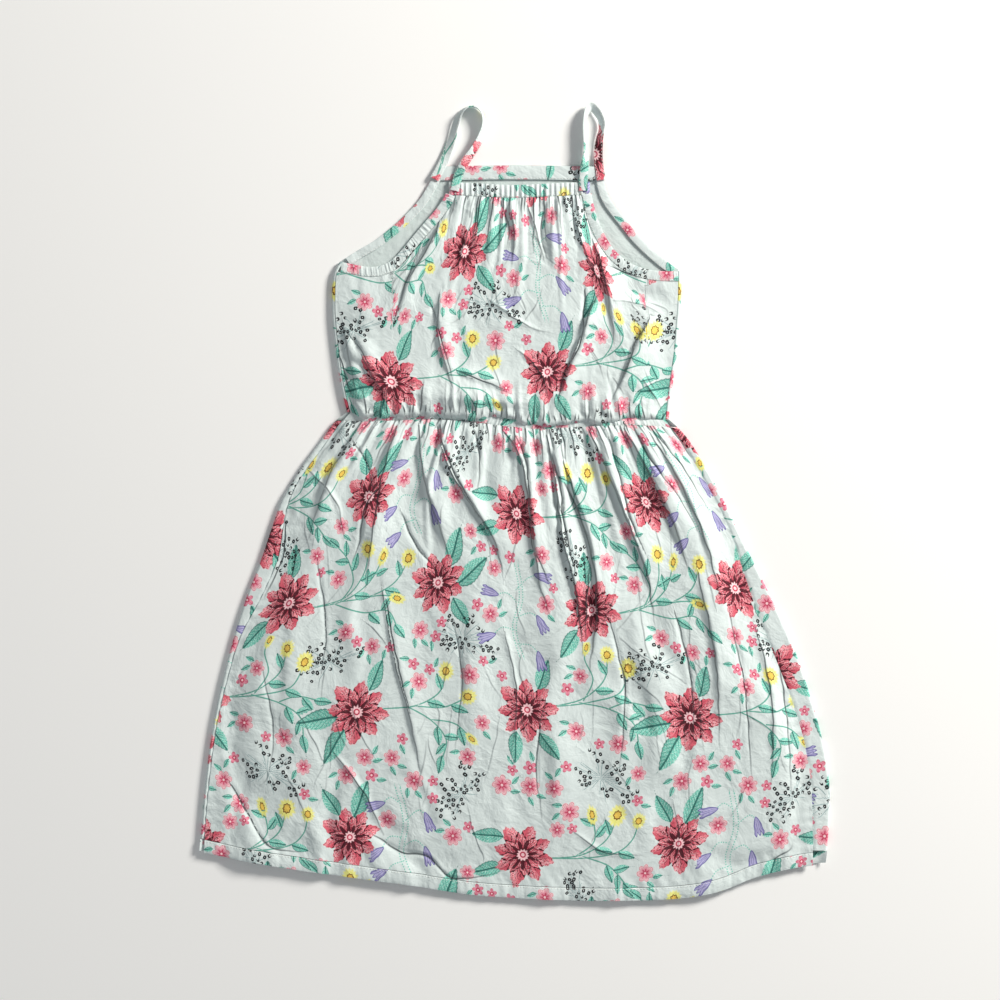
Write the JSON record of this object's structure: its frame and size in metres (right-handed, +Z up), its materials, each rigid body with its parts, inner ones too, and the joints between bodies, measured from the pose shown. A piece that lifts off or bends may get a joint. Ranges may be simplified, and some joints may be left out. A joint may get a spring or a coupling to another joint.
{
  "type": "sleeveless summer dress",
  "caption": "Child's sleeveless summer dress in flower-printed cotton, with thin straps and a gathered neck and waist, laid flat on its back.",
  "frame": {"origin": "middle of the laid-out dress's box, on the surface that it lies on", "axes": "+Z up from the surface, +Y along the dress from the hem to the neck, +X to the right in the picture"},
  "size_m": [0.6292, 0.7971, 0.0175],
  "materials": {
    "printed_cotton": "matt",
    "inner_cotton": "matt",
    "gathered_casing": "matt"
  },
  "bodies": {
    "root": {"bodice_front": "printed_cotton", "bodice_back": "inner_cotton", "skirt_front": "printed_cotton", "skirt_back": "printed_cotton", "neck_casing_front": "gathered_casing", "neck_band_back": "printed_cotton", "strap_left": "printed_cotton", "strap_right": "printed_cotton", "armhole_casing_left": "gathered_casing", "armhole_casing_right": "gathered_casing", "armhole_binding_left": "printed_cotton", "armhole_binding_right": "printed_cotton", "waist_casing_front": "gathered_casing", "waist_casing_back": "gathered_casing", "hem_front": "printed_cotton", "hem_back": "printed_cotton"}
  },
  "joints": []
}
